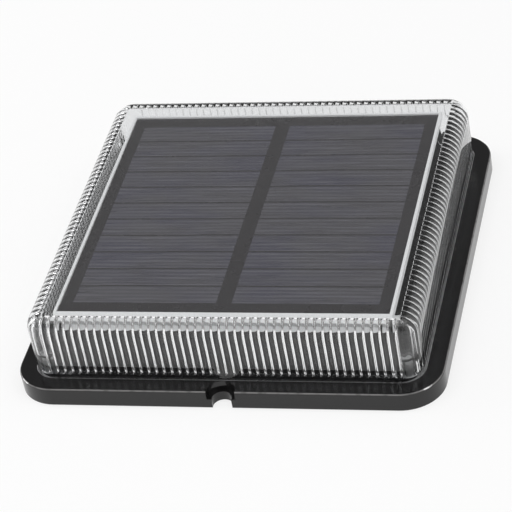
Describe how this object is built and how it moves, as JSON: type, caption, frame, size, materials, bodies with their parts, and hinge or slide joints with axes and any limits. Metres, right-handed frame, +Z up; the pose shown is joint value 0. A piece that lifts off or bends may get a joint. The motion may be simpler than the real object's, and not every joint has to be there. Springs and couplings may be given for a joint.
{
  "type": "fence light",
  "caption": "Square solar fence light: black notched base, clear cover ribbed on its inside, white tray with a solar panel, lamps, cell, control board and push switch within.",
  "frame": {"origin": "middle of the underside of the base, on the surface that the light rests on", "axes": "+Z up, through the top of the cover; +X to the right and +Y to the back, with the fixing notches in the front and back edges"},
  "size_m": [0.115, 0.115, 0.0235],
  "materials": {
    "black_plastic": "semi-gloss moulded, weatherproof",
    "clear_plastic": "clear polycarbonate, polished outside, ribbed inside",
    "white_plastic": "satin moulded, reflective white",
    "panel_laminate": "dark board under a smooth clear film",
    "solar_cell": "bluish grey silicon with fine finger lines",
    "foam_tape": "closed-cell foam",
    "grey_silicone": "soft silicone",
    "button_rubber": "matt moulded rubber",
    "cell_sleeve": "plain shrink sleeve over a steel can",
    "contact_metal": "nickel-plated strip",
    "circuit_board": "green solder mask",
    "lamp_board": "black solder mask",
    "chip_black": "moulded package",
    "ferrite": "ferrite bobbin, wound",
    "capacitor_sleeve": "plain sleeve",
    "led_package": "white package with a pale phosphor window",
    "screw_steel": "stainless steel",
    "lead_red": "red insulation",
    "lead_black": "black insulation"
  },
  "bodies": {
    "root": {"base_housing": "black_plastic", "base_gasket": "grey_silicone", "lens_cover": "clear_plastic", "panel_tray": "white_plastic", "panel_tape": "foam_tape", "solar_cells": "solar_cell", "panel_board": "panel_laminate", "battery_cell": "cell_sleeve", "battery_contact_plus": "contact_metal", "battery_contact_minus": "contact_metal", "control_board": "circuit_board", "controller_chip": "chip_black", "inductor": "ferrite", "storage_capacitor": "capacitor_sleeve", "switch_body": "chip_black", "switch_seal": "grey_silicone", "led_board_front": "lamp_board", "led_board_right": "lamp_board", "led_board_back": "lamp_board", "led_board_left": "lamp_board", "leds_front": "led_package", "leds_right": "led_package", "leds_back": "led_package", "leds_left": "led_package", "housing_screws": "screw_steel", "tray_screws": "screw_steel", "board_screws": "screw_steel", "battery_lead_red": "lead_red", "battery_lead_black": "lead_black", "panel_lead_red": "lead_red", "panel_lead_black": "lead_black", "led_feed_leads": "lead_red", "led_link_leads": "lead_black"},
    "button": {"switch_button": "button_rubber"}
  },
  "joints": [
    {"name": "button_press", "type": "slide", "parent": "root", "child": "button", "axis": [0, 0, 1], "range_m": [0, 0.001], "stiffness_N_per_m": 400}
  ]
}
